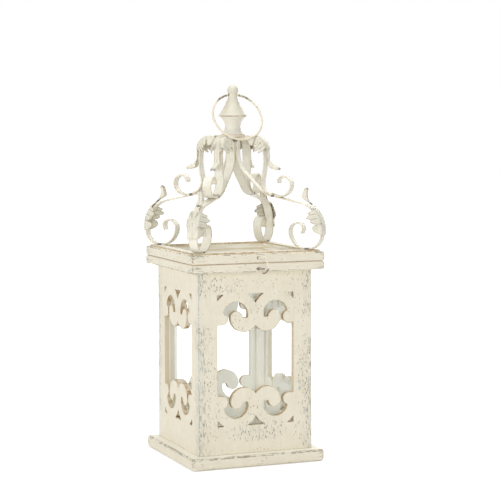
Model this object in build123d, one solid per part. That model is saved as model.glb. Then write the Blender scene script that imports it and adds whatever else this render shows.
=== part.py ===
from build123d import *
import math
import os

os.makedirs("parts", exist_ok=True)

# Wooden case, in millimetres. The front is -Y and the table is z = 0.
body_w = 162.4
panel_t = 7.0
base_over = 13.8
base_h = 16.6
base_corner_r = 5.0
base_round = 4.8
seam_z = 272.2
frame_over = 13.0
frame_round = 2.6
collar_h = 11.8
lid_h = 12.6
lid_lap = 5.6

# Fretwork. Each fret is drawn from its outer edge towards the middle of the board.
fret_half_w = 54.5
fret_sill = 38.0
fret_head = 41.6
ring_x = 28.5
ring_y = 27.5
crescent_r = 17.5
spandrel_r = 32.3
scroll_y = 31.3
scroll_r = 19.7
scroll_x = 16.3
curl_r = 8.9
bracket_x = 47.5
bracket_y = 32.5
bracket_r = 8.2

# Glazing
glass_t = 2.0
glass_slot = 2.4
glass_end_gap = 0.4
glass_drop = 6.2
post_w = 9.0
post_drop = 14.2

# Metal crown: flat strap bent into scrolls, standing on a flat-bar rim
rim_inset = 4.6
rim_bar = 14.0
rim_t = 2.0
crown_h = 150.7
strap_w = 12.4
strap_t = 1.8
joint_slope = 12.0
joint_run = 8.0

# Upper scroll: from the hub over a shoulder, down a long back and a throat to the joint, then a curl
shoulder_run = 24.0
shoulder_r = 16.6
shoulder_turn = 80.0
back_r = 98.0
back_turn = 24.0
throat_r = 18.6
curl_outer_r = 16.0
curl_mid_r = 11.0
curl_mid_turn = 95.0
curl_inner_r = 7.2
curl_inner_turn = 100.0

# Rafter: from the hub down an ogee to the joint, over a knee, round a foot and into a volute
rafter_drop = 3.6
ogee_r = 39.0
ogee_turn = 46.0
eave_r = 40.0
eave_run = 38.0
knee_r = 38.0
ankle_run = 5.0
foot_run = 3.0
volute_outer_r = 23.5
volute_mid_r = 11.0
volute_mid_turn = 100.0
volute_inner_r = 7.6
volute_inner_turn = 100.0
volute_tail = 4.0

# Acanthus leaves. A lobe is its place and half-span, as fractions of the leaf, and its half-width.
leaf_t = 1.0
leaf_clear = 0.5
leaf_ease = 2.4
leaf_steps = 24
leaf_fold_stem = 80.0
leaf_fold_fan = 62.0
leaf_fan_start = 0.24
leaf_stem_half = 8.6
leaf_stem_end = 0.56
leaf_lobes = (
    (0.14, 0.14, 21.5),
    (0.30, 0.075, 25.0),
    (0.40, 0.075, 25.5),
    (0.49, 0.065, 18.0),
)
tongue_half = 2.6
tongue_root = 0.6
tongue_depth = 6.0
tongue_tip = 2.4
tongue_fold = 85.0
tongue_lift = 0.68
tongue_full = 0.82
upper_leaf_gap = 5.0
upper_leaf_back_turn = 8.0
upper_leaf_flick_r = 9.0
upper_leaf_flick_turn = 58.0
upper_leaf_tip = 14.0
lower_leaf_bow_turn = 54.0
lower_leaf_flick_r = 18.0
lower_leaf_flick_turn = 62.0
lower_leaf_tip = 5.5

# Hub and tie rod
hub_disc_r = 17.8
hub_disc_t = 2.6
hub_bar_half = 6.3
hub_bar_h = 21.5
nut_across = 10.0
nut_h = 5.0
rod_r = 3.0
rod_below_nut = 3.5
rod_in_cone = 18.5
shaft_clear = 0.05

# Finial and carrying ring
vase_h = 25.4
vase_foot_r = 15.7
vase_foot_h = 1.2
vase_waist_r = 10.7
vase_waist_h = 10.9
vase_lip_r = 18.6
vase_lip_h = 4.0
cone_h = 25.1
cone_r = 19.4
cone_edge_h = 1.2
cone_mid_r = 11.5
cone_mid_h = 14.0
neck_r = 6.4
ball_r = 7.6
ball_above_neck = 9.8
carry_above_neck = 3.8
carry_r = 35.0
carry_wire_r = 1.4
carry_clear = 0.45
carry_lean = 30.2

# Butt hinges at the back, hook and eyes at the front
hinge_x = 50.0
hinge_w = 24.0
hinge_leaf_h = 8.0
hinge_leaf_gap = 1.6
hinge_leaf_t = 1.2
knuckle_r = 2.2
knuckle_gap = 0.2
pin_r = 1.0
latch_x = 1.0
latch_turn = 45.0
eye_wire_r = 0.9
eye_r = 3.4
eye_stand = 6.2
eye_root = 7.0
eye_above_seam = 7.1
eye_below_seam = 7.0
hook_loop_r = 2.3
hook_wire_r = 0.85
hook_neck_r = 8.0
hook_neck_turn = 40.0
hook_bow_r = 9.5
hook_bow_turn = 100.0
hook_tip_r = 5.0
hook_tip_turn = 45.0

# Places that follow from the sizes
body_half = body_w / 2
inner_half = body_half - panel_t
base_w = body_w + 2 * base_over
frame_half = body_half + frame_over
lid_half = body_half - lid_lap
rim_half = frame_half - rim_inset
fret_bottom_z = base_h + fret_sill
fret_top_z = seam_z - fret_head
glass_top_z = seam_z - glass_drop
post_top_z = seam_z - post_drop
lid_top_z = seam_z + lid_h
rim_top_z = lid_top_z + rim_t
hub_under_z = rim_top_z + crown_h
hub_top_z = hub_under_z + hub_disc_t
nut_z = hub_under_z - hub_bar_h - nut_h
cone_z = hub_top_z + vase_h
neck_z = cone_z + cone_h
carry_z = neck_z + carry_above_neck
ball_z = neck_z + ball_above_neck
rod_top_z = cone_z + rod_in_cone
eye_upper_z = seam_z + eye_above_seam
eye_lower_z = seam_z - eye_below_seam
leaf_over = strap_t / 2 + leaf_t
sides = ("front", "right", "back", "left")
corners = ("right", "back", "left", "front")


def save(name, solid):
    solid.label = name
    export_step(solid, f"parts/{name}.step")


def to_side(quarter):
    """The turn that takes the front side to another side."""
    return Rot(0, 0, 90 * quarter)


def to_corner(quarter):
    """The turn that takes the +X direction to a corner."""
    return Rot(0, 0, 90 * quarter - 45)


def disc(x, y, radius):
    return Pos(x, y) * Circle(radius)


def box_between(x, y):
    """A rectangle from its two x limits and its two y limits."""
    return Pos(sum(x) / 2, sum(y) / 2) * Rectangle(x[1] - x[0], y[1] - y[0])


def fret_opening(reach):
    """Cut-outs of one fret, drawn from its outer edge at y = 0 up to y = reach.

    Every edge is a circle: a row of spandrels is left over outside two rings, each ring holds
    a crescent, and the crescent winds round a hanging scroll that ends in a curl.
    """
    rings = [disc(side * ring_x, ring_y, spandrel_r) for side in (-1, 1)]
    spandrels = box_between((-fret_half_w, fret_half_w), (0, ring_y / 2)) - rings
    below = box_between((-fret_half_w, fret_half_w), (scroll_y, reach))
    opening = Sketch() + spandrels + below
    for side in (-1, 1):
        opening += disc(side * ring_x, ring_y, crescent_r) - below
    for side in (-1, 1):
        lower_half = disc(side * scroll_x, scroll_y, scroll_r) & below
        curl = disc(side * (scroll_x + scroll_r - curl_r), scroll_y, curl_r)
        bracket = disc(side * bracket_x, bracket_y, bracket_r)
        foot = Pos(side * (bracket_x + fret_half_w) / 2, bracket_y) * Rectangle(
            fret_half_w - bracket_x, 2 * bracket_r
        )
        opening -= [lower_half, curl, bracket, foot]
    return opening


def panel(width):
    """A fretted board standing in the XZ plane, its outer face at y = 0."""
    reach = (fret_top_z - fret_bottom_z) / 2
    face = box_between((-width / 2, width / 2), (base_h, seam_z))
    face -= Pos(0, fret_bottom_z) * fret_opening(reach)
    face -= Pos(0, fret_top_z) * mirror(fret_opening(reach), Plane.XZ)
    face = face.face()
    return extrude(Plane.XZ * face, -panel_t)


def mitred_rail(section):
    """A frame rail along X on the front side, mitred at both corners."""
    rail = extrude(Plane.YZ * section, frame_half, both=True)
    corner = Polyline((0, 0), (-frame_half, -frame_half), (frame_half, -frame_half), close=True)
    return rail & extrude(make_face(corner), seam_z * 2)


def rail_section(inner, low, high):
    """Rail section in YZ with its two outer corners rounded over."""
    section = box_between((-frame_half, -inner), (low, high))
    outer = section.vertices().group_by(Axis.X)[0]
    return fillet(outer, frame_round)


def eye_hole(z):
    """The screw hole that holds one latch eye in the front face of its rail."""
    hole = Cylinder(eye_wire_r + shaft_clear, 2 * (eye_root + shaft_clear))
    return Pos(latch_x, -frame_half, z) * Rot(90, 0, 0) * hole


def case():
    blank = extrude(RectangleRounded(base_w, base_w, base_corner_r), base_h)
    edges = blank.edges().filter_by(GeomType.LINE).filter_by(Plane.XY)
    arcs = blank.edges().filter_by(GeomType.CIRCLE)
    save("base_board", fillet(edges + arcs, base_round))

    wide = panel(body_w)
    narrow = panel(body_w - 2 * panel_t)
    collar = mitred_rail(rail_section(body_half, seam_z - collar_h, seam_z))
    lid = mitred_rail(rail_section(lid_half, seam_z, lid_top_z))
    for quarter, name in enumerate(sides):
        board = wide if name in ("front", "back") else narrow
        about = to_side(quarter)
        save(f"panel_{name}", about * Pos(0, -body_half, 0) * board)
        bored = name == "front"
        save(f"collar_{name}", about * (collar - eye_hole(eye_lower_z) if bored else collar))
        save(f"lid_rail_{name}", about * (lid - eye_hole(eye_upper_z) if bored else lid))

    inset = inner_half - glass_slot - post_w / 2
    post = Pos(inset, -inset, base_h) * extrude(Rectangle(post_w, post_w), post_top_z - base_h)
    for quarter, name in enumerate(corners):
        save(f"corner_post_{name}", to_side(quarter) * post)


def glazing():
    """Panes slide between the boards and the corner posts; the side panes stop short."""
    reach = {"front": inner_half, "back": inner_half}
    for quarter, name in enumerate(sides):
        half = reach.get(name, inner_half - glass_slot) - glass_end_gap
        pane = Box(2 * half, glass_t, glass_top_z - base_h, align=(Align.CENTER, Align.MIN, Align.MIN))
        save(f"glass_{name}", to_side(quarter) * Pos(0, -inner_half, base_h) * pane)


class Bend:
    """A path of straight runs and tangent arcs in the plane of one strap (x outwards, y up)."""

    def __init__(self, start, heading):
        self.at = Vector(*start)
        self.heading = heading
        self.edges = []

    def way(self):
        return Vector(1, 0, 0).rotate(Axis.Z, self.heading)

    def run(self, length):
        edge = Line(self.at, self.at + self.way() * length)
        return self.add(edge, 0)

    def arc(self, radius, turn):
        return self.add(JernArc(self.at, self.way(), radius, turn), turn)

    def add(self, edge, turn):
        self.edges.append(edge)
        self.at = edge @ 1
        self.heading += turn
        return self

    def strap(self):
        ribbon = trace(self.edges, strap_t)
        return extrude(Plane.XZ * ribbon, strap_w / 2, both=True)


def upper_scroll_bend():
    """From under the hub, over the shoulder, down to the joint and out into its curl."""
    bend = Bend((hub_bar_half, hub_under_z - strap_t / 2), 0)
    bend.run(shoulder_run).arc(shoulder_r, -shoulder_turn).arc(back_r, -back_turn)
    bend.arc(throat_r, shoulder_turn + back_turn - joint_slope)
    bend.joint = bend.at + bend.way() * joint_run / 2
    bend.run(joint_run).arc(curl_outer_r, 90 + joint_slope)
    return bend.arc(curl_mid_r, curl_mid_turn).arc(curl_inner_r, curl_inner_turn)


def rafter_bend(joint):
    """From the hub bar down the ogee, past the joint, round the foot and into its curl.

    The two straight runs of the ogee are worked out so that the strap lies flat under the joint.
    """
    top = Vector(hub_bar_half + strap_t / 2, hub_under_z - rafter_drop)
    under = joint - Vector(0, 1, 0).rotate(Axis.Z, -joint_slope) * strap_t
    eave_turn = 90 - ogee_turn
    bent = Bend(top, -90).arc(ogee_r, ogee_turn).arc(eave_r, eave_turn - joint_slope)
    bent.run(joint_run / 2)
    miss = under - bent.at
    slant = miss.X / math.cos(math.radians(eave_turn))
    drop = -miss.Y - slant * math.sin(math.radians(eave_turn))

    bend = Bend(top, -90).run(drop).arc(ogee_r, ogee_turn).run(slant)
    bend.arc(eave_r, eave_turn - joint_slope).run(joint_run / 2 + eave_run)
    bend.arc(knee_r, joint_slope - 90).run(ankle_run)
    bend.ankle = bend.at
    bend.arc(bend.at.Y - rim_top_z - strap_t / 2, -90).run(foot_run)
    bend.arc(volute_outer_r, -90).arc(volute_mid_r, -volute_mid_turn)
    return bend.arc(volute_inner_r, -volute_inner_turn).run(volute_tail)


def leaf_rib(along):
    """Half-width up to the crease, length of the wing past it and fold of the wing, at one place of a leaf.

    The wings of the stem reach the widest of the stem itself and its elliptic lobes. The tongue after it is
    a narrow channel, whose walls fold and deepen as it lifts off the strap, and shorten towards its tip.
    """
    if along < leaf_stem_end:
        fold = leaf_fold_stem if along < leaf_fan_start else leaf_fold_fan
        crease = strap_w / 2 + leaf_clear + leaf_t * math.tan(math.radians(fold / 2))
        reach = [leaf_stem_half]
        for middle, span, half in leaf_lobes:
            off = min(1, abs(along - middle) / span)
            reach.append(half * math.sqrt(1 - off**2))
        return crease, max(reach) - crease, fold
    rise = min(1, max(0, along - tongue_lift) / (tongue_full - tongue_lift))
    taper = max(0, along - tongue_full) / (1 - tongue_full)
    wall = tongue_root + (tongue_depth - tongue_root) * rise**2 - (tongue_depth - tongue_tip) * taper
    return tongue_half, wall, tongue_fold * rise


def leaf(bend, outside):
    """An acanthus leaf: a folded sheet lofted along its own bend, with round lobes and a channelled tongue.

    The bend is the outer face, and outside is 1 where that face is on the left of the way along it
    and -1 on the right. The middle lies on the strap, and the wings fold down past its edges.
    """
    path = Wire(bend.edges)
    ribs = []
    for step in range(leaf_steps + 1):
        along = step / leaf_steps
        flat, length, fold = leaf_rib(along)
        mitre = leaf_t * math.tan(math.radians(fold / 2))
        crease, inner = Vector(flat, 0), Vector(flat - mitre, -leaf_t)
        wing = Vector(length, 0).rotate(Axis.Z, -fold)
        right = [(v.X, v.Y) for v in (crease, crease + wing, inner + wing, inner)]
        left = [(-x, y) for x, y in reversed(right)]
        spot, ahead = path @ along, path % along
        frame = Plane((spot.X, 0, spot.Y), (0, outside, 0), (ahead.X, 0, ahead.Y))
        ribs.append(frame * make_face(Polyline(*right, *left, close=True)))
    return loft(ribs, ruled=True)


def crown():
    scroll_bend = upper_scroll_bend()
    rafter = rafter_bend(scroll_bend.joint)
    scroll_solid = scroll_bend.strap()
    rafter_solid = rafter.strap()

    leaf_root = hub_disc_r + upper_leaf_gap
    upper = Bend((leaf_root, hub_under_z + leaf_t), 0)
    upper.run(hub_bar_half + shoulder_run + leaf_ease - leaf_root)
    upper.arc(shoulder_r + leaf_over, -shoulder_turn).arc(back_r + leaf_over, -upper_leaf_back_turn)
    upper.arc(upper_leaf_flick_r, upper_leaf_flick_turn).run(upper_leaf_tip)
    upper_leaf = leaf(upper, 1)
    lower = Bend(rafter.ankle + Vector(leaf_over, 0), 90).run(ankle_run + leaf_ease)
    lower.arc(knee_r + leaf_over, lower_leaf_bow_turn)
    lower.arc(lower_leaf_flick_r, -lower_leaf_flick_turn).run(lower_leaf_tip)
    lower_leaf = leaf(lower, -1)

    for quarter, name in enumerate(corners):
        about = to_corner(quarter)
        save(f"upper_scroll_{name}", about * scroll_solid)
        save(f"rafter_{name}", about * rafter_solid)
        save(f"upper_leaf_{name}", about * upper_leaf)
        save(f"lower_leaf_{name}", about * lower_leaf)

    rim_inner = rim_half - rim_bar
    bars = Rectangle(2 * rim_half, 2 * rim_half) - Rectangle(2 * rim_inner, 2 * rim_inner)
    save("rim_frame", Pos(0, 0, lid_top_z) * extrude(bars, rim_t))

    bore = Circle(rod_r + shaft_clear)
    square = Rot(0, 0, 45) * Rectangle(2 * hub_bar_half, 2 * hub_bar_half)
    hub = extrude(Circle(hub_disc_r) - bore, hub_disc_t)
    hub += extrude(square - bore, -hub_bar_h)
    save("crown_hub", Pos(0, 0, hub_under_z) * hub)
    nut = extrude(RegularPolygon(nut_across / 2, 6, major_radius=False) - bore, nut_h)
    save("crown_nut", Pos(0, 0, nut_z) * nut)
    rod = extrude(Circle(rod_r), rod_top_z - nut_z + rod_below_nut)
    save("tie_rod", Pos(0, 0, nut_z - rod_below_nut) * rod)


def finial():
    """Turned vase below, cone with neck and ball above; both are bored for the tie rod."""
    foot = (vase_foot_r, hub_top_z + vase_foot_h)
    lip = (vase_lip_r, cone_z)
    throat = (vase_lip_r - vase_lip_h, cone_z - vase_lip_h)
    outline = Polyline((0, hub_top_z), (vase_foot_r, hub_top_z), foot)
    outline += ThreePointArc(foot, (vase_waist_r, hub_top_z + vase_waist_h), throat)
    outline += Polyline(throat, lip, (0, cone_z), (0, hub_top_z))
    vase = revolve(make_face(Plane.XZ * outline), Axis.Z)
    bore = extrude(Circle(rod_r + shaft_clear), rod_top_z)
    save("finial_vase", vase - bore)

    edge = (cone_r, cone_z + cone_edge_h)
    shoulder = (neck_r, neck_z)
    outline = Polyline((0, cone_z), (cone_r, cone_z), edge)
    outline += ThreePointArc(edge, (cone_mid_r, cone_z + cone_mid_h), shoulder)
    outline += Polyline(shoulder, (neck_r, ball_z), (0, ball_z), (0, cone_z))
    cone = revolve(make_face(Plane.XZ * outline), Axis.Z)
    cone += Pos(0, 0, ball_z) * Sphere(ball_r)
    hole = Cylinder(carry_wire_r + ring_bow() / 2 + carry_clear, 4 * neck_r)
    save("finial_cone", cone - bore - Pos(0, 0, carry_z) * Rot(0, 90, 0) * hole)


def ring_bow():
    """How far the bent wire of the ring strays from a straight line inside its hole."""
    return carry_r - math.sqrt(carry_r**2 - neck_r**2)


def carrying_ring():
    """The ring is hung half its bow high, so that the wire is centred in its straight hole."""
    ring = Rot(90, 0, 0) * Torus(carry_r, carry_wire_r)
    hung = Rot(-carry_lean, 0, 0) * Pos(0, 0, ring_bow() / 2 - carry_r) * ring
    save("carry_ring", Pos(0, 0, carry_z) * hung)


def hinges():
    """Two surface butt hinges; each lower leaf has the outer knuckles and each upper the middle."""
    axis_y = frame_half + knuckle_r
    third = hinge_w / 3
    pin = Rot(0, 90, 0) * Cylinder(pin_r, hinge_w)
    bore = Rot(0, 90, 0) * Cylinder(pin_r + shaft_clear, 2 * hinge_w)
    room = Rot(0, 90, 0) * Cylinder(knuckle_r + knuckle_gap, third)

    def plate(up):
        tall = hinge_leaf_h + hinge_leaf_gap
        return Pos(0, hinge_leaf_t / 2 - knuckle_r, up * tall / 2) * Box(hinge_w, hinge_leaf_t, tall)

    for name, x in {"left": -hinge_x, "right": hinge_x}.items():
        at = Pos(x, axis_y, seam_z)
        middle = Rot(0, 90, 0) * Cylinder(knuckle_r, third - 2 * knuckle_gap)
        clear_ends = [Pos(side * third, 0, 0) * room for side in (-1, 1)]
        upper = (plate(1) - clear_ends) + middle - bore
        ends = [
            Pos(side * third, 0, 0) * Rot(0, 90, 0) * Cylinder(knuckle_r, third) for side in (-1, 1)
        ]
        lower = (plate(-1) - room) + ends - bore
        save(f"hinge_upper_{name}", at * upper)
        save(f"hinge_lower_{name}", at * lower)
        save(f"hinge_pin_{name}", at * pin)


def latch():
    """Two screw eyes and a bowed wire hook that hangs in the upper one and catches the lower."""
    shank = Rot(90, 0, 0) * Cylinder(eye_wire_r, eye_root + eye_stand - eye_r)
    eye = Torus(eye_r, eye_wire_r)
    eye += Pos(0, eye_r + (eye_root + eye_stand - eye_r) / 2, 0) * shank
    for name, z in {"upper": eye_upper_z, "lower": eye_lower_z}.items():
        save(f"latch_eye_{name}", Pos(latch_x, -frame_half - eye_stand, z) * eye)

    start = (eye_r + hook_loop_r, 0)
    bend = Bend(start, -90).arc(hook_neck_r, hook_neck_turn)
    bend.arc(hook_bow_r, -hook_bow_turn).arc(hook_tip_r, -hook_tip_turn)
    wire = sweep(Plane(origin=(*start, 0), z_dir=(0, -1, 0)) * Circle(hook_wire_r), Wire(bend.edges))
    hook = wire + Pos(eye_r, 0, 0) * Torus(hook_loop_r, eye_wire_r)
    hung = Rot(0, 0, -latch_turn) * Rot(90, 0, 0) * hook
    save("latch_hook", Pos(latch_x, -frame_half - eye_stand, eye_upper_z) * hung)


case()
glazing()
crown()
finial()
carrying_ring()
hinges()
latch()
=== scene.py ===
"""Looks of a cream candle lantern.

Distressed paint on the wooden case, chipped paint on the wrought crown, clear panes, acanthus leaves
with veined lobes, weld beads where the straps meet, and screws in the hinges.
"""

import functools
import math
from types import SimpleNamespace

import bpy
import numpy as np
from mathutils import Matrix, Vector


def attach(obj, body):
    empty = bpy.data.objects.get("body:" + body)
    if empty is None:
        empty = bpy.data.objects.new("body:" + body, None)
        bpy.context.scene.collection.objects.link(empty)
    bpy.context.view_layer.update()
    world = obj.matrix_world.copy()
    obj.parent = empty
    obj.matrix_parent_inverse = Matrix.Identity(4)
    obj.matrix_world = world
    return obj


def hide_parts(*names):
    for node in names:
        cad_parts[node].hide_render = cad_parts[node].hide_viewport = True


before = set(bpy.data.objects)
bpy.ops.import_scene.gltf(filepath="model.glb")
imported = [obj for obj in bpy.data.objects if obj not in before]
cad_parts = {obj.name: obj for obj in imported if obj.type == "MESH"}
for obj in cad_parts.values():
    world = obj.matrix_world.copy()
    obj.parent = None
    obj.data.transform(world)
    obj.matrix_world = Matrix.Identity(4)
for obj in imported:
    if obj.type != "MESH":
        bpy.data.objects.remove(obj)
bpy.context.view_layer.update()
MM = 0.001
# The diagonal planes of the crown's straps, in degrees about the upright axis
CORNERS = {"right": -45, "back": 45, "left": 135, "front": 225}


def screen(*rgb):
    """Linear colour from the 0 to 255 values that a screen shows."""
    shown = np.array(rgb) / 255
    return (*np.where(shown <= 0.04045, shown / 12.92, ((shown + 0.055) / 1.055) ** 2.4), 1.0)


# Paints, bare materials and dirt, and tones of painted light and painted shade
CREAM = screen(232, 225, 205)
CREAM_PALE = screen(237, 231, 213)
CREAM_WARM = screen(224, 212, 184)
IRON = screen(227, 223, 207)
IRON_PALE = screen(234, 231, 219)
LEAF = screen(217, 212, 194)
# Painted shade: the cone's paint is a darker copy of the iron's, so that the top lamp does not show it
# brighter
CONE_PAINTED_SHADE = screen(212, 208, 190)
CONE_PALE_PAINTED_SHADE = screen(219, 215, 198)
# Painted light: a near-white for the inside of the case, the walls of the lid's hole and the tops, against
# their shade
INSIDE_PAINTED_LIGHT = screen(255, 253, 243)
PEPPER = screen(134, 120, 94)
UNDERCOAT = screen(196, 202, 197)
WORN_GREY = screen(148, 147, 133)
CORNER_GREY = screen(226, 228, 224)
TAN = screen(206, 186, 148)
BARE_WOOD = screen(176, 137, 90)
DARK_WOOD = screen(112, 80, 50)
RUST = screen(96, 80, 64)
SOOT = screen(62, 54, 46)
PANE = screen(253, 255, 254)
PANE_DUSTY = screen(251, 253, 251)


class Wiring:
    """Short calls that place nodes in one tree; each returns the output that the next call takes."""

    def __init__(self, tree):
        self.tree = tree

    def put(self, kind, values=None, output=0, **settings):
        """Place a node. Values go to its inputs by name or number, as constants or as links."""
        node = self.tree.nodes.new("ShaderNode" + kind)
        for name, value in settings.items():
            setattr(node, name, value)
        for key, value in (values or {}).items():
            if isinstance(value, bpy.types.NodeSocket):
                self.tree.links.new(value, node.inputs[key])
            else:
                node.inputs[key].default_value = value
        return node.outputs[output]

    def group(self, tree, output, **values):
        """Place a shared effect with its own values, by the names of its inputs."""
        return self.put("Group", values, output, node_tree=tree)

    def math(self, operation, *values):
        """One operation of the Math node."""
        return self.put("Math", dict(enumerate(values)), operation=operation)

    def chain(self, operation, values):
        """Values joined one after the other by the same operation."""
        return functools.reduce(lambda first, second: self.math(operation, first, second), values)

    def all_of(self, *masks):
        """The product of several masks."""
        return self.chain("MULTIPLY", masks)

    def any_of(self, *masks):
        """The highest of several masks."""
        return self.chain("MAXIMUM", masks)

    def weighted(self, *terms):
        """The sum of values, each times its weight."""
        return self.chain("ADD", [self.math("MULTIPLY", value, weight) for value, weight in terms])

    def scaled(self, value, gain, start):
        """A value times a gain, added to a start."""
        return self.math("ADD", start, self.math("MULTIPLY", value, gain))

    def hypot(self, one, other):
        """The root of the sum of two squares."""
        squares = self.math("ADD", self.math("MULTIPLY", one, one), self.math("MULTIPLY", other, other))
        return self.math("SQRT", squares)

    def fade(self, value, start, end):
        """0 at start and 1 at end, smooth between them; start may be the higher of the two."""
        return self.put("MapRange", {0: value, 1: start, 2: end}, interpolation_type="SMOOTHSTEP")

    def fade_mm(self, value, start, end):
        """The same, with start and end in millimetres."""
        return self.fade(value, start * MM, end * MM)

    def mix(self, share, under, over):
        """Two colours, with a share of the one on top."""
        return self.put("Mix", {0: share, 6: under, 7: over}, output=2, data_type="RGBA")

    def coat(self, color, over, *masks):
        """Another colour on top of this one, as far as the product of the masks goes."""
        return self.mix(self.all_of(*masks), color, over)

    def noise(self, vector, scale, detail=4.0, rough=0.6):
        """Cloudy noise, most of it between 0.3 and 0.7."""
        values = {"Vector": vector, "Scale": scale, "Detail": detail, "Roughness": rough}
        return self.put("TexNoise", values)

    def split(self, vector):
        """The three parts of a vector."""
        return self.put("SeparateXYZ", {0: vector}).node.outputs[:3]

    def stretched(self, vector, by):
        """A vector times another, axis by axis."""
        return self.put("VectorMath", {0: vector, 1: by}, operation="MULTIPLY")


# Effects that several finishes share


def open_effect(name, **inputs):
    """A new shader node group with a Vector and the named float inputs, which have these defaults."""
    tree = bpy.data.node_groups.new(name, "ShaderNodeTree")
    tree.interface.new_socket("Vector", in_out="INPUT", socket_type="NodeSocketVector")
    for label, default in inputs.items():
        socket = tree.interface.new_socket(label, in_out="INPUT", socket_type="NodeSocketFloat")
        socket.default_value = default
    return Wiring(tree), tree.nodes.new("NodeGroupInput").outputs


def close_effect(w, **outputs):
    """Lead the results to the group's named float outputs."""
    for label in outputs:
        w.tree.interface.new_socket(label, in_out="OUTPUT", socket_type="NodeSocketFloat")
    result = w.tree.nodes.new("NodeGroupOutput").inputs
    for label, output in outputs.items():
        w.tree.links.new(output, result[label])
    return w.tree


def make_edge_wear():
    """Edge is how far the rounded normal turns from the true one; Wear is that edge broken by noise."""
    w, given = open_effect("edge_wear", Width=0.001, Scale=300.0, Amount=0.5)
    true_normal = w.put("NewGeometry", output="Normal")
    rounded = w.put("Bevel", {"Radius": given["Width"]}, samples=8)
    agree = w.put("VectorMath", {0: true_normal, 1: rounded}, "Value", operation="DOT_PRODUCT")
    edge = w.fade(agree, 0.998, 0.93)
    broken = w.noise(given["Vector"], given["Scale"], 5.0, 0.65)
    level = w.scaled(given["Amount"], -0.5, 0.72)
    wear = w.fade(w.math("MULTIPLY", edge, broken), level, w.math("ADD", level, 0.08))
    return close_effect(w, Edge=edge, Wear=wear)


def make_wood_grain():
    """Noise drawn out along the third axis: wide streaks for wear and narrow ridges for the bump."""
    w, given = open_effect("wood_grain", Scale=400.0, Draw=0.05)
    drawn = w.stretched(given["Vector"], w.put("CombineXYZ", {"X": 1.0, "Y": 1.0, "Z": given["Draw"]}))
    streaks = w.noise(drawn, given["Scale"], 3.0, 0.55)
    ridges = w.noise(drawn, w.math("MULTIPLY", given["Scale"], 2.6), 4.0, 0.6)
    return close_effect(w, Streaks=streaks, Ridges=ridges)


def make_flakes():
    """Islands where rough noise passes a level, which falls as Cover grows; Lip is their raised rim."""
    w, given = open_effect("flakes", Scale=300.0, Cover=0.2)
    rough = w.noise(given["Vector"], given["Scale"], 3.0, 0.55)
    level = w.scaled(given["Cover"], -0.4, 0.74)
    flake = w.fade(rough, level, w.math("ADD", level, 0.035))
    near = w.fade(rough, w.math("SUBTRACT", level, 0.06), level)
    return close_effect(w, Flake=flake, Lip=w.math("SUBTRACT", near, flake))


def make_joint_soot_and_shadow():
    """A dark spot, soot and painted shadow, where crown pieces meet: near a radius and height, not far from
    a diagonal.
    """
    w, given = open_effect("joint_soot_and_shadow", Radius=0.06, Height=0.35, Reach=0.006)
    x, y, z = w.split(given["Vector"])
    out = w.math("SUBTRACT", w.hypot(x, y), given["Radius"])
    up = w.math("SUBTRACT", z, given["Height"])
    near = w.math("SUBTRACT", 1.0, w.math("DIVIDE", w.hypot(out, up), given["Reach"]))
    patchy = w.noise(given["Vector"], 420.0, 4.0, 0.65)
    spot = w.fade(w.math("ADD", near, patchy), 0.80, 1.10)
    apart = w.math("SUBTRACT", w.math("ABSOLUTE", x), w.math("ABSOLUTE", y))
    on_strap = w.fade_mm(w.math("ABSOLUTE", apart), 13, 9.5)
    return close_effect(w, Soot=w.all_of(spot, on_strap))


def make_pepper():
    """Small dark dots: a cell whose random shade is under Density has one of about Size in its middle."""
    w, given = open_effect("pepper", Scale=480.0, Size=0.24, Density=0.1)
    distance = w.put("TexVoronoi", {"Vector": given["Vector"], "Scale": given["Scale"]}, "Distance")
    shade = w.split(distance.node.outputs["Color"])[0]
    size = w.math("MULTIPLY", given["Size"], w.scaled(shade, 1.2, 0.6))
    dot = w.fade(distance, size, w.math("MULTIPLY", size, 0.6))
    chosen = w.math("LESS_THAN", shade, given["Density"])
    return close_effect(w, Dots=w.math("MULTIPLY", dot, chosen))


edge_wear = make_edge_wear()
wood_grain = make_wood_grain()
flakes = make_flakes()
joint_soot_and_shadow = make_joint_soot_and_shadow()
pepper = make_pepper()


def finish_for(name):
    """A new material, its wiring and its shader."""
    made = bpy.data.materials.new(name)
    made.use_nodes = True
    shader = made.node_tree.nodes["Principled BSDF"]
    return made, Wiring(made.node_tree), shader


def join(w, shader, color, roughness, height, depth):
    """Colour, roughness and a bump of the given depth in metres go to the shader."""
    normal = w.put("Bump", {"Height": height, "Strength": 0.7, "Distance": depth})
    w.tree.links.new(color, shader.inputs["Base Color"])
    w.tree.links.new(roughness, shader.inputs["Roughness"])
    w.tree.links.new(normal, shader.inputs["Normal"])


def patch_mask(w, across, up, patches):
    """Soft ovals on one face: each has its middle, half-width and half-height in mm, and a strength."""
    ovals = []
    for middle_x, middle_z, half_x, half_z, strength in patches:
        dx = w.math("DIVIDE", w.math("SUBTRACT", across, middle_x * MM), half_x * MM)
        dz = w.math("DIVIDE", w.math("SUBTRACT", up, middle_z * MM), half_z * MM)
        far = w.math("ADD", w.math("MULTIPLY", dx, dx), w.math("MULTIPLY", dz, dz))
        ovals.append(w.all_of(w.fade(far, 1.6, 0.3), strength))
    return w.any_of(*ovals)


# Painted wood. Half-widths and heights of the case in millimetres. A pair is where a change starts and
# where it is complete; for END_WEAR these are shares of the way to a piece's end.
BOARD_HALF = 81.2
FRAME_HALF = 94.2
BASE_HALF = 95.0
FRAME_HOLE = 75.6
FRAME_OUTSIDE = (92.0, 93.4)
FRONT_FACE = (-80.0, -90.0)
BOARD_CORNER = (75.5, 79.0)
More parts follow.
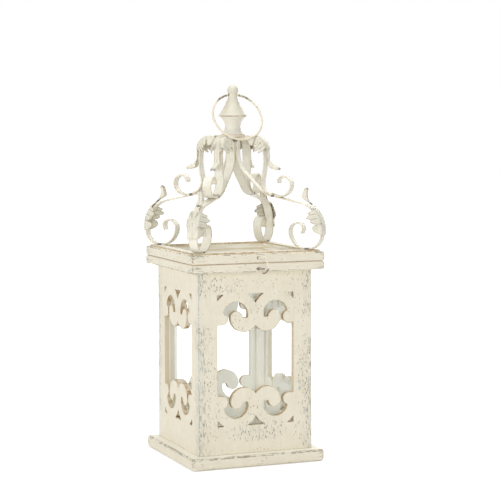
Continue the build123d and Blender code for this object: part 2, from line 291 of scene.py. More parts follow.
# BOARD_INSIDE and BASE_INSIDE are where the painted light within the case sets in.
BOARD_INSIDE = (75.2, 74.6)
BASE_INSIDE = (75.0, 74.0)
FRET_SIDE = (57.0, 55.5)
FRET_JAMB = (52.0, 53.5)
FRET_SILL = (53.0, 54.0)
FRET_HEAD = (232.0, 231.0)
SEAM_UP = 272.2
SEAM_LINE = (0.8, 0.4)
CLEAN_SEAM = (2.2, 3.6)
CLEAN_FOOT = (3.0, 7.0)
END_WEAR = (0.62, 0.96)
LATCH_STAINS = ((-0.5, 278.6, 3.0, 2.2, 1), (-1.0, 264.8, 3.4, 2.0, 1))


def wood_surface(w, grain, each_side):
    """What the layers on a wooden piece read: its place and facing, its grain and two noises.

    Away is the distance from the middle along x and y. Along is the place with the grain as its third
    axis; each_side turns the grain on the faces that look along x, so that it follows every side.
    """
    place = w.put("TexCoord", output="Object")
    facing = [w.math("ABSOLUTE", part) for part in w.split(w.put("TexCoord", output="Normal"))]
    x, y, z = w.split(place)
    turned = {"x": (z, y, x), "y": (x, z, y), "z": (x, y, z)}[grain]
    along = w.put("CombineXYZ", dict(enumerate(turned)))
    if each_side:
        other_way = w.put("CombineXYZ", {"X": x, "Y": z, "Z": y})
        along = w.mix(w.fade(facing[0], 0.15, 0.3), along, other_way)
    streaks = w.group(wood_grain, "Streaks", Vector=along, Scale=330.0)
    return SimpleNamespace(
        place=place,
        facing=facing,
        x=x,
        y=y,
        z=z,
        away={"x": w.math("ABSOLUTE", x), "y": w.math("ABSOLUTE", y)},
        along=along,
        streaks=streaks,
        ridges=streaks.node.outputs["Ridges"],
        wide=w.noise(place, 21.0, 3.0, 0.55),
        mottle=w.noise(place, 95.0, 4.0, 0.6),
    )


def cream_coat(w, wood):
    """Mottled cream, a little warmer along the ridges of the grain and in wide clouds."""
    color = w.mix(w.fade(wood.mottle, 0.30, 0.72), CREAM, CREAM_PALE)
    color = w.coat(color, CREAM_WARM, w.fade(wood.ridges, 0.47, 0.66), 0.36)
    return w.coat(color, CREAM_WARM, w.fade(wood.wide, 0.45, 0.75), 0.18)


def rubbed_places(w, wood, length, reach):
    """How far the paint is rubbed: near the ends, in wide clouds, and where an edge is rounded."""
    far = wood.away[length] if length else w.math("MINIMUM", wood.away["x"], wood.away["y"])
    starts, full = (share * reach for share in END_WEAR)
    ends = w.all_of(w.fade_mm(far, starts, full), w.fade(wood.wide, 0.34, 0.54), 0.95)
    clouds = w.all_of(w.fade(wood.wide, 0.44, 0.70), 0.5)
    rounded = w.fade(w.any_of(*wood.facing), 0.995, 0.90)
    return w.any_of(ends, clouds, w.all_of(rounded, w.fade(wood.mottle, 0.34, 0.52), 1.35))


def scratch_paint(w, wood, color, where, specks):
    """Scratches along the grain and small dots, more of them where the paint is rubbed.

    They show the pale undercoat, and darker tones where the rubbing goes deep. Specks is a mask with more
    dots. Returns the colour, the bared places and the raised lip of the scratches.
    """
    cover = w.scaled(where, 0.46, 0.06)
    long = w.stretched(wood.along, (1.0, 1.0, 0.10))
    scratches = w.group(flakes, "Flake", Vector=long, Scale=950.0, Cover=cover)
    crowding = [(where, 0.30), (w.fade(wood.wide, 0.40, 0.62), 0.07)]
    if specks is not None:
        crowding.append((specks, 0.34))
    density = w.math("ADD", w.weighted(*crowding), 0.025)
    short = w.stretched(wood.along, (1.0, 1.0, 0.45))
    dots = w.group(pepper, "Dots", Vector=short, Scale=520.0, Size=0.44, Density=density)
    grey = w.any_of(w.fade(wood.mottle, 0.44, 0.58), w.fade(where, 0.7, 1.1))
    deep = w.mix(w.fade(wood.wide, 0.42, 0.58), PEPPER, WORN_GREY)
    color = w.coat(color, w.mix(grey, UNDERCOAT, deep), scratches, 0.75)
    color = w.coat(color, w.mix(w.fade(wood.mottle, 0.46, 0.60), PEPPER, WORN_GREY), dots, 0.75)
    return color, w.any_of(scratches, dots), scratches.node.outputs["Lip"]


def saw_walls(w, wood, color, cut, smear):
    """Bare brown wood with smeared paint on the sawn walls of the fretwork, and painted light on the inner
    face.

    Returns the colour and the sawn places.
    """
    sideways = wood.away["y" if cut == "x" else "x"]
    turned_in = w.fade(wood.facing["xy".index(cut)], 0.7, 0.4)
    height = w.all_of(w.fade_mm(wood.z, *FRET_SILL), w.fade_mm(wood.z, *FRET_HEAD))
    sawn = w.all_of(turned_in, w.fade_mm(sideways, *FRET_SIDE), height)
    brown = w.mix(w.fade(wood.mottle, 0.40, 0.70), TAN, BARE_WOOD)
    brown = w.mix(w.fade(wood.streaks, 0.58, 0.70), brown, DARK_WOOD)
    smeared = w.fade(w.noise(wood.place, 120.0, 3.0, 0.5), smear, smear + 0.12)
    painted = w.any_of(smeared, w.all_of(w.fade_mm(sideways, *FRET_JAMB), 0.9))
    color = w.mix(sawn, color, w.mix(painted, brown, CREAM_WARM))
    # Painted light: the board's inner face turns near-white against the shade inside the case.
    inside = w.fade_mm(wood.away[cut], *BOARD_INSIDE)
    return w.coat(color, INSIDE_PAINTED_LIGHT, inside, 0.9), sawn


def mark_frame(w, wood, color, gap):
    """Painted light on the walls in a frame's hole, a brown seam between lid and collar, and rust round the
    latch.
    """
    away = w.any_of(wood.away["x"], wood.away["y"])
    # Painted light: the walls in the hole are made pale against their shade.
    pale = w.mix(w.fade(wood.streaks, 0.4, 0.6), CREAM_WARM, INSIDE_PAINTED_LIGHT)
    color = w.coat(color, pale, w.fade_mm(away, FRAME_HOLE + 0.8, FRAME_HOLE), 0.8)
    brown = w.mix(w.fade(wood.mottle, 0.52, 0.60), BARE_WOOD, DARK_WOOD)
    seam = w.all_of(w.fade_mm(gap, *SEAM_LINE), w.fade_mm(away, *FRAME_OUTSIDE))
    color = w.coat(color, brown, seam, w.fade(wood.mottle, 0.30, 0.46), 0.85)
    rust = w.mix(w.fade(wood.mottle, 0.4, 0.6), SOOT, DARK_WOOD)
    patchy = w.fade(w.noise(wood.place, 300.0, 3.0, 0.6), 0.40, 0.54)
    stains = patch_mask(w, wood.x, wood.z, LATCH_STAINS)
    return w.coat(color, rust, stains, w.fade_mm(wood.y, *FRONT_FACE), patchy, 0.9)


def distressed_wood(
    name,
    grain,
    length,
    reach,
    cut=None,
    patches=(),
    smear=0.58,
    worn=0.6,
    is_frame=False,
    inside_top=False,
):
    """Cream paint over a grey undercoat and brown wood, rubbed at the ends, the edges and in patches.

    Grain is the axis that the streaks follow. Length is the axis along which the piece ends at plus and
    minus reach, in millimetres; both axes count where it is None, and the streaks then follow each side.
    Cut is the axis through a board with fretwork, and smear how bare its sawn walls are. Worn is how far
    the edges are rubbed. Is_frame is for the rails of the lid and the collar, which meet at the seam.
    Inside_top paints light on the piece: its tops turn pale, and most of all within the case.
    """
    made, w, shader = finish_for(name)
    wood = wood_surface(w, grain, each_side=not length)
    color = cream_coat(w, wood)
    where = rubbed_places(w, wood, length, reach)
    specks = None
    if patches:
        broken = w.scaled(w.fade(wood.mottle, 0.42, 0.58), 0.35, 0.7)
        across = wood.y if cut == "x" else wood.x
        specks = w.all_of(patch_mask(w, across, wood.z, patches), broken)
        where = w.any_of(where, w.all_of(specks, 0.78))
    if cut:
        corner = w.fade_mm(wood.away[length], *BOARD_CORNER)
        color = w.coat(color, CORNER_GREY, corner, w.fade(wood.mottle, 0.30, 0.55), 0.55)
        where = w.any_of(where, w.all_of(corner, 0.28))

    if is_frame:
        gap = w.math("ABSOLUTE", w.math("SUBTRACT", wood.z, SEAM_UP * MM))
        clean = w.scaled(w.fade_mm(gap, *CLEAN_SEAM), 0.85, 0.15)
    else:
        clean = w.scaled(w.fade_mm(wood.z, *CLEAN_FOOT), 0.65, 0.35)
    where = w.all_of(where, clean)
    color, bared, lip = scratch_paint(w, wood, color, where, specks)
    edge = w.group(edge_wear, "Wear", Vector=wood.place, Width=2.6 * MM, Scale=420.0, Amount=worn)
    worn_edge = w.all_of(edge, clean)
    edge_tone = w.mix(w.fade(wood.mottle, 0.44, 0.58), WORN_GREY, BARE_WOOD)
    color = w.coat(color, edge_tone, worn_edge, 0.6)

    if cut:
        color, sawn = saw_walls(w, wood, color, cut, smear)
        bared = w.any_of(bared, sawn)
    if inside_top:
        # Painted light: tops, and most of all the inside of the case, turn near-white against their shade.
        within = w.fade_mm(w.any_of(wood.away["x"], wood.away["y"]), *BASE_INSIDE)
        level = w.fade(wood.facing[2], 0.90, 0.98)
        color = w.mix(w.any_of(w.all_of(within, 0.85), w.all_of(level, 0.55)), color, INSIDE_PAINTED_LIGHT)
    if is_frame:
        color = mark_frame(w, wood, color, gap)

    height = w.weighted((wood.ridges, 0.6), (lip, 0.3), (w.any_of(bared, worn_edge), -0.45))
    join(w, shader, color, w.scaled(bared, 0.24, 0.56), height, 0.35 * MM)
    return made


# Painted iron. A dark spot has its radius from the middle, its height and its reach, in millimetres.
# Most are soot; two are painted shadow.
SOOT_AND_SHADOW_SPOTS = (
    (61, 358, 4.6),
    (110, 287.4, 6.2),
    # painted shadow under the tongue of each lower leaf
    (113.5, 347.8, 3.8),
    # painted shadow under the hub
    (12, 433, 6),
    (19.5, 465.0, 1.8),
)


def chipped_iron(
    name,
    paint=(IRON, IRON_PALE),
    chips=0.16,
    worn=0.5,
    brown=(TAN, 0.9, 1.7),
    vein=None,
    rubbed=None,
    stained=None,
    sides=False,
):
    """Cream paint on wrought iron: lumpy, tan at the edges, chipped to rust, dark at welds and in painted
    shadow.

    Brown gives the colour, strength and width in millimetres of the rubbed edges. Vein names a point
    attribute that darkens the grooves of a leaf with dirt and painted shade. Rubbed is a height in
    millimetres above which the paint is rubbed off, and stained one below which it is rusty. Sides browns
    the faces that stand upright.
    """
    made, w, shader = finish_for(name)
    place = w.put("TexCoord", output="Object")
    up = w.split(place)[2]
    mottle = w.noise(place, 110.0, 4.0, 0.6)
    lumps = w.noise(place, 260.0, 3.0, 0.5)
    clouds = w.noise(place, 48.0, 3.0, 0.5)
    color = w.mix(w.fade(mottle, 0.32, 0.66), *paint)
    color = w.coat(color, CREAM_WARM, w.fade(clouds, 0.5, 0.7), 0.35)

    edge_color, edge_share, edge_width = brown
    edge = w.group(edge_wear, "Edge", Vector=place, Width=edge_width * MM, Scale=330.0, Amount=worn)
    worn_edge = edge.node.outputs["Wear"]
    color = w.coat(color, edge_color, edge, w.fade(mottle, 0.28, 0.54), edge_share)
    flake = w.group(flakes, "Flake", Vector=place, Scale=330.0, Cover=chips)
    lip = flake.node.outputs["Lip"]
    chip = w.any_of(w.all_of(flake, 0.8), w.all_of(worn_edge, w.fade(mottle, 0.48, 0.60)))
    color = w.coat(color, w.mix(w.fade(lumps, 0.42, 0.6), UNDERCOAT, RUST), chip, 0.85)
    if vein:
        # The grooves darken with dirt and painted shade.
        groove = w.put("Attribute", output="Fac", attribute_name=vein)
        dirt_and_shade = w.mix(w.fade(lumps, 0.40, 0.6), WORN_GREY, RUST)
        color = w.coat(color, dirt_and_shade, groove, w.fade(mottle, 0.26, 0.56), 0.8)
    if rubbed:
        high = w.fade_mm(up, rubbed - 4, rubbed + 3)
        color = w.coat(color, RUST, high, w.fade(lumps, 0.38, 0.52), 0.9)
    if sides:
        level = w.math("ABSOLUTE", w.split(w.put("TexCoord", output="Normal"))[2])
        bare = w.mix(w.fade(lumps, 0.4, 0.6), TAN, BARE_WOOD)
        color = w.coat(color, bare, w.fade(level, 0.7, 0.3), w.fade(mottle, 0.30, 0.46), 0.75)
    if stained:
        low = w.fade_mm(up, stained + 1, stained - 1)
        rust = w.mix(w.fade(lumps, 0.45, 0.6), SOOT, DARK_WOOD)
        color = w.coat(color, rust, low, w.fade(lumps, 0.30, 0.48), 0.9)
    # Soot at the welds, and painted shadow under the hub and under the lower leaves' tongues.
    spots = []
    for spot in SOOT_AND_SHADOW_SPOTS:
        radius, height, reach = (size * MM for size in spot)
        values = {"Vector": place, "Radius": radius, "Height": height, "Reach": reach}
        spots.append(w.group(joint_soot_and_shadow, "Soot", **values))
    soot_and_shadow_tone = w.mix(w.fade(mottle, 0.4, 0.6), SOOT, RUST)
    color = w.coat(color, soot_and_shadow_tone, w.any_of(*spots), 0.88)

    relief = w.weighted((lumps, 0.8), (lip, 0.3), (chip, -0.4))
    join(w, shader, color, w.scaled(chip, 0.3, 0.46), relief, 0.3 * MM)
    return made


def clear_glass(name):
    """Clear pane with a faint grey cast and a little dust; light passes it, so the inside isn't dark."""
    made, w, shader = finish_for(name)
    place = w.put("TexCoord", output="Object")
    haze = w.fade(w.noise(place, 60.0, 5.0, 0.6), 0.45, 0.75)
    w.tree.links.new(w.mix(haze, PANE, PANE_DUSTY), shader.inputs["Base Color"])
    w.tree.links.new(w.math("MULTIPLY", haze, 0.05), shader.inputs["Roughness"])
    shader.inputs["Transmission Weight"].default_value = 1.0
    shader.inputs["IOR"].default_value = 1.45
    path = w.put("LightPath", output="Is Shadow Ray")
    lit = w.any_of(path, path.node.outputs["Is Diffuse Ray"])
    through = w.put("BsdfTransparent", {"Color": (1, 1, 1, 1)})
    both = w.put("MixShader", {0: lit, 1: shader.outputs[0], 2: through})
    w.tree.links.new(both, made.node_tree.nodes["Material Output"].inputs["Surface"])
    return made


# Rubbed patches on the boards: middle across and up, half-width and half-height in millimetres, strength
FRONT_PATCHES = (
    (4, 46, 42, 15, 1.05),
    (68, 110, 9, 60, 0.8),
    (-66, 118, 8, 26, 0.7),
    (-44, 243, 32, 12, 0.9),
    (66, 42, 10, 18, 0.7),
    (0, 70, 16, 14, 0.5),
    (-22, 196, 16, 16, 0.5),
)
BACK_PATCHES = (
    (-68, 110, 9, 60, 0.8),
    (66, 130, 8, 40, 0.7),
    (36, 243, 26, 12, 0.7),
    (-58, 38, 16, 16, 0.6),
)
SIDE_PATCHES = (
    (-70, 80, 8, 60, 0.7),
    (10, 240, 40, 9, 0.6),
    (70, 110, 8, 50, 0.7),
    (-34, 34, 20, 14, 0.5),
)
TURNED = {"chips": 0.06, "worn": 0.35, "brown": (BARE_WOOD, 0.7, 1.4)}
VEINED = {"chips": 0.26, "worn": 0.7, "brown": (TAN, 0.9, 1.8), "vein": "groove"}
RING_BARE_ABOVE = 487.0
HOOK_RUSTY_BELOW = 266.0

front_board = distressed_wood("cream_front_board", "z", "x", BOARD_HALF, "y", FRONT_PATCHES)
back_board = distressed_wood("cream_back_board", "z", "x", BOARD_HALF, "y", BACK_PATCHES)
side_board = distressed_wood("cream_side_board", "z", "y", BOARD_HALF, "x", SIDE_PATCHES, smear=0.46)
rail_x = distressed_wood("cream_rail_along_front", "x", "x", FRAME_HALF, is_frame=True)
rail_y = distressed_wood("cream_rail_along_side", "y", "y", FRAME_HALF, is_frame=True)
base_wood = distressed_wood("cream_base", "x", None, BASE_HALF, worn=0.75, inside_top=True)
post_wood = distressed_wood("cream_post", "z", "x", BASE_HALF, worn=0.3, inside_top=True)
crown_iron = chipped_iron("cream_iron")
vase_iron = chipped_iron("cream_vase", **TURNED)
# The cone's darker paint is painted shade.
cone_iron = chipped_iron("cream_cone", (CONE_PAINTED_SHADE, CONE_PALE_PAINTED_SHADE), **TURNED)
leaf_iron = chipped_iron("cream_leaf", (LEAF, IRON), **VEINED)
rim_iron = chipped_iron("worn_rim", chips=0.24, worn=0.6, brown=(TAN, 0.9, 2.0), sides=True)
ring_iron = chipped_iron("worn_ring", (CREAM, CREAM_WARM), 0.24, 0.6, rubbed=RING_BARE_ABOVE)
worn_iron = chipped_iron("worn_hardware", (CREAM_WARM, TAN), 0.5, 0.9)
latch_iron = chipped_iron("rusty_latch", (IRON_PALE, CREAM_PALE), 0.4, 0.7, stained=HOOK_RUSTY_BELOW)
pane_glass = clear_glass("pane_glass")

# A node takes the first finish whose words its name starts with.
FINISHES = (
    ("panel_front", front_board),
    ("panel_back", back_board),
    ("panel_", side_board),
    ("collar_front", rail_x),
    ("collar_back", rail_x),
    ("collar_", rail_y),
    ("lid_rail_front", rail_x),
    ("lid_rail_back", rail_x),
    ("lid_rail_", rail_y),
    ("base_board", base_wood),
    ("corner_post_", post_wood),
    ("glass_", pane_glass),
    ("hinge_", worn_iron),
    ("latch_", latch_iron),
    ("carry_ring", ring_iron),
    ("rim_frame", rim_iron),
    ("finial_vase", vase_iron),
    ("finial_cone", cone_iron),
    ("", crown_iron),
)
for name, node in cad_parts.items():
    finish = next(made for start, made in FINISHES if name.startswith(start))
    node.data.materials.clear()
    node.data.materials.append(finish)


# New pieces


def mesh_piece(name, points, faces, material, body, smooth=40.0, caps=()):
    """A mesh object from an array of points in metres and rows of corner numbers, riding on a body.

    Caps are faces with more corners, which close the ends. Edges sharper than smooth degrees stay sharp.
    """
    mesh = bpy.data.meshes.new(name)
    mesh.from_pydata(points.tolist(), [], [*faces.tolist(), *caps])
    mesh.polygons.foreach_set("use_smooth", np.ones(len(mesh.polygons), bool))
    mesh.set_sharp_from_angle(angle=math.radians(smooth))
    mesh.materials.append(material)
    piece = bpy.data.objects.new(name, mesh)
    bpy.context.scene.collection.objects.link(piece)
    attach(piece, body)
    return piece


def grid_faces(rows, columns, wrap=False):
    """Four corner numbers for each cell of a grid of points; wrap joins the last column to the first."""
    row = np.arange(rows - 1)[:, None]
    column = np.arange(columns if wrap else columns - 1)[None, :]
    after = (column + 1) % columns
    cells = [row * columns + column, row * columns + after]
    cells += [(row + 1) * columns + after, (row + 1) * columns + column]
    return np.stack(cells, -1).reshape(-1, 4)


def end_caps(rows, columns):
    """Faces that close the first and the last row of a wrapped grid."""
    first = list(range(columns))
    last = [(rows - 1) * columns + number for number in first]
    return first[::-1], last


def to_corner(out, side, up, turn):
    """Points from a strap's own plane (outwards, sideways, up) to a corner of the lantern, in metres."""
    angle = math.radians(turn)
    x = out * math.cos(angle) - side * math.sin(angle)
    y = out * math.sin(angle) + side * math.cos(angle)
    return np.stack([x, y, up], -1) * MM


def part_way(value, start, end):
    """0 at start and 1 at end, with a straight line between them."""
    return np.clip((value - start) / (end - start), 0, 1)


def ease(value, start, end):
    """0 at start and 1 at end, with a smooth cubic between them."""
    share = part_way(value, start, end)
    return share**2 * (3 - 2 * share)


def blend(first, second, share):
    """The first value where share is 0 and the second where it is 1."""
    return first + (second - first) * share


def move_lengths(moves):
    """Lengths of a chain of moves: (length, 0) is a straight run, (radius, turn) an arc."""
    return [size * (abs(math.radians(turn)) if turn else 1) for size, turn in moves]


def bend_path(start, heading, moves, share):
    """Points and headings at shares of the length of a chain of straight runs and tangent arcs.

    The heading grows evenly along each move, and the points are the running sum of short chords in the
    direction of the heading.
    """
    knots = np.concatenate([[0], np.cumsum(move_lengths(moves))])
    turns = np.radians(heading + np.concatenate([[0], np.cumsum([turn for _, turn in moves])]))
    fine = np.linspace(0, knots[-1], 4001)
    chord = np.diff(fine)
    between = np.interp((fine[1:] + fine[:-1]) / 2, knots, turns)
    out = start[0] + np.concatenate([[0], np.cumsum(np.cos(between) * chord)])
    up = start[1] + np.concatenate([[0], np.cumsum(np.sin(between) * chord)])
    at = share * knots[-1]
    return np.interp(at, fine, out), np.interp(at, fine, up), np.interp(at, knots, turns)


# Acanthus leaves, in millimetres and degrees; places along a leaf are shares of its length
STRAP_HALF = 7.4
STEM_HALF = 8.6
TONGUE_HALF = 2.6
LEAST_HALF = 0.2
TONGUE_START = (0.49, 0.58)
TONGUE_LIFT, TONGUE_DEEPEST = 0.68, 0.82
ROOT_WALL, DEEPEST_WALL, TIP_WALL = 0.6, 6.0, 2.6
TIP_ROUNDING = (0.975, 1.001)
STEM_FOLD, FAN_FOLD, TONGUE_FOLD = 80, 62, 85
FAN_START = (0.17, 0.25)
FIRST_NOTCH, LAST_NOTCH = -0.1, 0.51
CREASE_SOFTNESS = 0.6
NOTCH_DEPTH, FLUTE_DEPTH, RIB_DEPTH = 0.9, 0.5, 0.4
# How dark the notches, flutes and rib are painted, for dirt and painted shade in them.
NOTCH_DIRT_AND_SHADE, FLUTE_DIRT_AND_SHADE, RIB_DIRT_AND_SHADE = 0.85, 0.7, 0.4
NOTCH_FLANK = (5, 13)
FLUTE_START = (0.05, 0.20)
FLUTE_SLANT = 2.0
FLUTE_INNER, FLUTE_OUTER = (0.6, 3), (7, 11)
RIB_HALF = 0.9
FLARE_RISE, FLARE_SPAN = 1.6, 16
DIRTY_TIP = (0.95, 1.0)
# A lobe has its place and half-span along the leaf, its half-width, and how far it leans to the tip.
UPPER_LOBES = (
    (0.110, 0.115, 21.5, 0.10),
    (0.242, 0.048, 21.0, 0.25),
    (0.318, 0.050, 25.0, 0.40),
    (0.394, 0.050, 25.5, 0.50),
    (0.466, 0.046, 19.0, 0.70),
)
LOWER_LOBES = (
    (0.120, 0.125, 21.5, 0.05),
    (0.285, 0.075, 22.5, 0.10),
    (0.385, 0.078, 25.5, 0.25),
    (0.470, 0.066, 19.5, 0.45),
)
# A leaf has its first point and heading in the strap's plane, its moves, the side that its outer face is
# on, and its lobes.
UPPER_MOVES = ((9.9, 0), (18.5, -80), (99.9, -8), (9, 58), (14, 0))
LOWER_MOVES = ((7.4, 0), (39.9, 54), (18, -62), (5.5, 0))
UPPER_LEAF = ((22.8, 438.5), 0, UPPER_MOVES, 1, UPPER_LOBES)
LOWER_LEAF = ((132.1, 306.8), 90, LOWER_MOVES, -1, LOWER_LOBES)


def leaf_section(along, lobes):
    """Half-width, crease and fold of a leaf at places along it, and how far it has become the tongue.

    The half-width is the widest of a stem and elliptic lobes, and after the stem that of a tongue. This is
    a channel, whose walls deepen with the square of the way from where it lifts off the strap, and shorten
    to its blunt tip. The crease is the distance from the middle line at which the sheet folds down.
    """
    tongue = ease(along, *TONGUE_START)
    lift = part_way(along, TONGUE_LIFT, TONGUE_DEEPEST)
    taper = part_way(along, TONGUE_DEEPEST, 1)
    wall = ROOT_WALL + (DEEPEST_WALL - ROOT_WALL) * lift**2 - (DEEPEST_WALL - TIP_WALL) * taper**1.5
    blunt = np.sqrt(1 - part_way(along, *TIP_ROUNDING) ** 2)
    half = np.full_like(along, STEM_HALF)
    for middle, span, reach, _ in lobes:
        half = np.maximum(half, reach * np.sqrt(np.clip(1 - ((along - middle) / span) ** 2, 0, 1)))
    half = np.maximum(blend(half, (TONGUE_HALF + wall) * blunt, tongue), LEAST_HALF)
    crease = blend(STRAP_HALF, TONGUE_HALF * blunt, tongue)
    fold = blend(STEM_FOLD, FAN_FOLD, ease(along, *FAN_START))
    return half, crease, np.radians(blend(fold, TONGUE_FOLD * lift, tongue)), tongue


def leaf_relief(along, side, crease, length, lobes, tongue):
    """Notches between the lobes, flutes and middle rib of a leaf, each from 0 to 1.

    The cube of a raised cosine with one wave from notch to notch gives the notches, and one with two waves
    the flutes, which start near the middle line, lead outwards and on, and grow shallow past the crease.
    The rib is a bell curve.
    """
    middles, spans = np.array(lobes).T[:2]
    inner = (middles[:-1] + spans[:-1] + middles[1:] - spans[1:]) / 2
    notches = np.concatenate([[FIRST_NOTCH], inner, [LAST_NOTCH]])
    count = np.arange(len(notches))
    off = np.abs(side)
    notch = ((1 + np.cos(2 * np.pi * np.interp(along, notches, count))) / 2) ** 3 * (1 - tongue)
    ahead = along + FLUTE_SLANT * np.clip(crease - off, 0, None) / length
    flute = ((1 + np.cos(4 * np.pi * np.interp(ahead, notches, count))) / 2) ** 3 * (1 - tongue)
    flute = flute * ease(along, *FLUTE_START) * ease(off, *FLUTE_INNER)
    flute = flute * (1 - 0.6 * ease(off, *FLUTE_OUTER))
    return notch, flute, np.exp(-((side / RIB_HALF) ** 2))


def leaf_sheet(start, heading, moves, outside, lobes, along, across):
    """The face of an acanthus leaf in the strap's plane, its dirt and painted shade, and the depth of its
    flutes.

    A point's distance from the middle line is a share of the half-width. Up to the crease it lies on the
    path, and past it the sheet folds down and slides forward by each lobe's lean, so that the lobes fan out
    towards the tip. The notches and the rib sink into the face, and the lobes' rims flare up with the cube
    of the way past the crease. Dirt and painted shade lie in notches, rib and flutes, and dirt on the tip.
    """
    half, crease, fold, tongue = leaf_section(along, lobes)
    length = sum(move_lengths(moves))
    side = half * across
    past = np.abs(side) - crease
    hinge = (past + np.sqrt(past**2 + CREASE_SOFTNESS)) / 2
    width = np.sign(side) * np.maximum(np.abs(side) - hinge * (1 - np.cos(fold)), 0)
    notch, flute, rib = leaf_relief(along, side, crease, length, lobes, tongue)
    flank = ease(np.abs(side), *NOTCH_FLANK)
    flare = FLARE_RISE * part_way(past, 0, FLARE_SPAN) ** 3 * (1 - tongue)
    sink = hinge * np.sin(fold) + NOTCH_DEPTH * notch * flank + RIB_DEPTH * rib - flare

    middles, _, _, leans = np.array(lobes).T
    lean = np.interp(along, middles, leans) * np.clip(past, 0, None) * (1 - tongue) / length
    out, up, way = bend_path(start, heading, moves, np.clip(along + lean, 0, 1))
    out = out + outside * np.sin(way) * sink
    up = up - outside * np.cos(way) * sink
    # Painted shade and dirt in the notches, rib and flutes; dirt on the tip.
    dirt_and_shade = [NOTCH_DIRT_AND_SHADE * notch**1.5 * flank, FLUTE_DIRT_AND_SHADE * flute, RIB_DIRT_AND_SHADE * rib]
    dirt_and_shade = np.max([*dirt_and_shade, ease(along, *DIRTY_TIP)], axis=0)
    return np.stack([out, width, up], -1), np.clip(dirt_and_shade, 0, 1), FLUTE_DEPTH * flute


def leaf_piece(name, body, start, heading, moves, outside, lobes, turn, rows=160, columns=61, thick=0.95):
    """A leaf as a closed shell: the fluted outer face, an inner face set in, and the rim between them.

    Both faces are the sheet moved along its normals, which are the cross products of its grid's steps.
    """
    along, across = np.meshgrid(np.linspace(0, 1, rows), np.linspace(-1, 1, columns), indexing="ij")
    face, groove, flute = leaf_sheet(start, heading, moves, outside, lobes, along, across)
    normal = np.cross(np.gradient(face, axis=1), np.gradient(face, axis=0))
    normal /= np.maximum(np.linalg.norm(normal, axis=-1, keepdims=True), 1e-9)
    inner = face - outside * normal * thick
    outer = face - outside * normal * flute[..., None]
    both = np.concatenate([outer.reshape(-1, 3), inner.reshape(-1, 3)])
    points = to_corner(both[:, 0], both[:, 1], both[:, 2], turn)
    outer_faces = grid_faces(rows, columns)
    inner_faces = outer_faces[:, ::-1] + rows * columns
    number = np.arange(rows * columns).reshape(rows, columns)
    loop = np.concatenate([number[0, :-1], number[:-1, -1], number[-1, :0:-1], number[:0:-1, 0]])
    after = np.roll(loop, -1)
    rim = np.stack([after, loop, loop + rows * columns, after + rows * columns], -1)
    faces = np.concatenate([outer_faces, inner_faces, rim])
    if outside < 0:
        faces = faces[:, ::-1]
    piece = mesh_piece(name, points, faces, leaf_iron, body, 50.0)
    attribute = piece.data.attributes.new(VEINED["vein"], "FLOAT", "POINT")
    attribute.data.foreach_set("value", np.tile(groove.reshape(-1), 2).astype(np.float32))
    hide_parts(name.replace("_veined", ""))


for corner, turn in CORNERS.items():
    leaf_piece(f"upper_leaf_{corner}_veined", "lid", *UPPER_LEAF, turn)
    leaf_piece(f"lower_leaf_{corner}_veined", "lid", *LOWER_LEAF, turn)


def weld_bead(name, out, up, half_side, radius, turn, seed, rows=40, columns=14):
    """A lumpy bead across a strap: a circle carried sideways, with small flat ends.

    Its radius is the root of one minus the fourth power of the way from the middle, times one plus two
    small sines, whose phases come from the seed.
    """
    steps = np.linspace(0.999, -0.999, rows)
    along, around = np.meshgrid(steps, np.arange(columns) * 2 * np.pi / columns, indexing="ij")
    lumps = 1 + 0.16 * np.sin(9 * along + seed) + 0.10 * np.sin(17 * along + 2.3 * seed + around)
    reach = radius * np.sqrt(np.clip(1 - along**4, 0, 1)) * lumps
    points = to_corner(out + reach * np.cos(around), half_side * along, up + reach * np.sin(around), turn)
    faces = grid_faces(rows, columns, wrap=True)
    caps = end_caps(rows, columns)
    mesh_piece(name, points.reshape(-1, 3), faces, worn_iron, "lid", caps=caps)


# Beads where a strap meets another strap or the rim: outwards, up, half-length and radius in millimetres
WELDS = {
    "joint_inner": (58.0, 360.9, 5.4, 1.1),
    "joint_outer": (69.0, 356.4, 5.4, 1.1),
    "foot_outer": (115.0, 287.2, 5.6, 1.0),
    "foot_inner": (103.6, 287.2, 5.6, 1.0),
}
for number, (corner, turn) in enumerate(CORNERS.items()):
    for order, (spot, (out, up, half_side, radius)) in enumerate(WELDS.items()):
        weld_bead(f"weld_{spot}_{corner}", out, up, half_side, radius, turn, 1.7 * number + order)


# Screws on the outer faces of the hinge leaves, in millimetres
HINGE_FACE = 95.4
HINGES = {"left": -50, "right": 50}
SCREW_STEPS = (-7.5, 7.5)
UPPER_SCREWS, LOWER_SCREWS = 278.2, 266.2
SLOT_DEPTH, SLOT_HALF = 0.5, 0.32


def screw_head(name, x, z, body, radius=2.1, rise=0.7, rings=12, spokes=36):
    """A slotted oval screw head: a dome, one minus the square of the share of its radius, over a disc.

    It is sunk where it is near the line of the slot, which turns a little from screw to screw.
    """
    shares = np.linspace(0.02, 1, rings)
    share, angle = np.meshgrid(shares, np.arange(spokes) * 2 * np.pi / spokes, indexing="ij")
    slot_turn = 0.6 + 0.05 * x
    dx, dz = radius * share * np.cos(angle), radius * share * np.sin(angle)
    off = np.abs(dx * math.sin(slot_turn) - dz * math.cos(slot_turn))
    dome = rise * (1 - share**2) - SLOT_DEPTH * (off < SLOT_HALF)
    points = np.stack([x + dx, HINGE_FACE + dome, z + dz], -1).reshape(-1, 3) * MM
    faces = grid_faces(rings, spokes, wrap=True)
    mesh_piece(name, points, faces, worn_iron, body, 30.0, end_caps(rings, spokes))


for side, x in HINGES.items():
    for order, step in enumerate(SCREW_STEPS):
        screw_head(f"hinge_screw_upper_{side}_{order}", x + step, UPPER_SCREWS, "lid")
        screw_head(f"hinge_screw_lower_{side}_{order}", x + step, LOWER_SCREWS, "case")


# Floor, light and camera, in metres


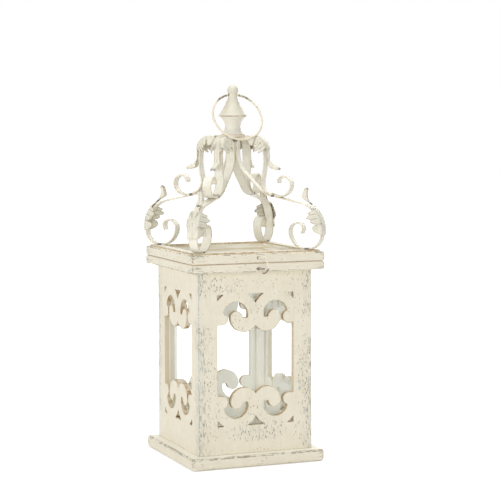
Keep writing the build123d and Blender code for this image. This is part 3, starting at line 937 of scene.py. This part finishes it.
def seen_as_background(w):
    """1 for what the camera, gloss and glass see, and 0 for the light on the lantern."""
    path = w.put("LightPath").node.outputs
    return w.any_of(path["Is Camera Ray"], path["Is Glossy Ray"], path["Is Transmission Ray"])


def white_floor(half=9.0):
    """A wide pale floor; what the camera, gloss and glass see of it is lifted to white.

    The lift is less near the lantern, where its shadow stays.
    """
    made, w, shader = finish_for("pale_floor")
    made.node_tree.nodes.remove(shader)
    plain = w.put("BsdfDiffuse", {"Color": (0.9, 0.9, 0.9, 1)})
    far = w.put("VectorMath", {0: w.put("TexCoord", output="Object")}, "Value", operation="LENGTH")
    strength = w.all_of(seen_as_background(w), w.scaled(w.fade(far, 0.2, 1.4), 0.5, 0.34))
    lift = w.put("Emission", {"Color": (1, 1, 1, 1), "Strength": strength})
    total = w.put("AddShader", {0: plain, 1: lift})
    w.tree.links.new(total, made.node_tree.nodes["Material Output"].inputs["Surface"])
    corners = [(-half, -half, 0), (half, -half, 0), (half, half, 0), (-half, half, 0)]
    mesh = bpy.data.meshes.new("floor")
    mesh.from_pydata(corners, [], [(0, 1, 2, 3)])
    mesh.materials.append(made)
    floor = bpy.data.objects.new("floor", mesh)
    bpy.context.scene.collection.objects.link(floor)


def white_world(level=0.31):
    """Soft even light of a low level all round; the camera, gloss and glass see plain white."""
    world = bpy.data.worlds.new("studio")
    world.use_nodes = True
    bpy.context.scene.world = world
    w = Wiring(world.node_tree)
    background = world.node_tree.nodes["Background"]
    background.inputs["Color"].default_value = (1, 1, 1, 1)
    strength = w.scaled(seen_as_background(w), 1 - level, level)
    w.tree.links.new(strength, background.inputs["Strength"])


def lamp(name, place, aim, size, power):
    """A square soft box at a place, turned to face a point."""
    light = bpy.data.lights.new(name, "AREA")
    light.size = size
    light.energy = power
    holder = bpy.data.objects.new(name, light)
    holder.location = place
    holder.rotation_euler = (Vector(aim) - Vector(place)).to_track_quat("-Z", "Y").to_euler()
    bpy.context.scene.collection.objects.link(holder)


def photo_camera():
    """The camera that was fitted to the straight edges of the case."""
    yaw, pitch, roll = math.radians(21.94), math.radians(4.62), math.radians(-0.13)
    level = Vector((math.sin(yaw), math.cos(yaw), 0))
    ahead = math.cos(pitch) * level - math.sin(pitch) * Vector((0, 0, 1))
    right = Vector((math.cos(yaw), -math.sin(yaw), 0))
    up = right.cross(ahead)
    right, up = (
        math.cos(roll) * right + math.sin(roll) * up,
        math.cos(roll) * up - math.sin(roll) * right,
    )
    lens = bpy.data.cameras.new("camera")
    lens.lens = 119.43
    lens.sensor_width = 36
    camera = bpy.data.objects.new("camera", lens)
    place = Matrix((right, up, -ahead)).transposed().to_4x4()
    place.translation = Vector((-0.8259, -2.1117, 0.4657))
    camera.matrix_world = place
    bpy.context.scene.collection.objects.link(camera)
    bpy.context.scene.camera = camera


white_floor()
white_world()
lamp("front", (-0.60, -2.45, 1.00), (0, 0, 0.20), 1.5, 21.5)
lamp("left", (-2.5, -0.7, 0.85), (0, 0, 0.20), 1.5, 24.0)
lamp("back", (2.0, 1.8, 1.0), (0, 0, 0.25), 1.5, 30.0)
lamp("top", (0.1, 0.1, 2.2), (0, 0, 0.2), 1.4, 25.0)
photo_camera()
bpy.context.scene.view_settings.view_transform = "Standard"
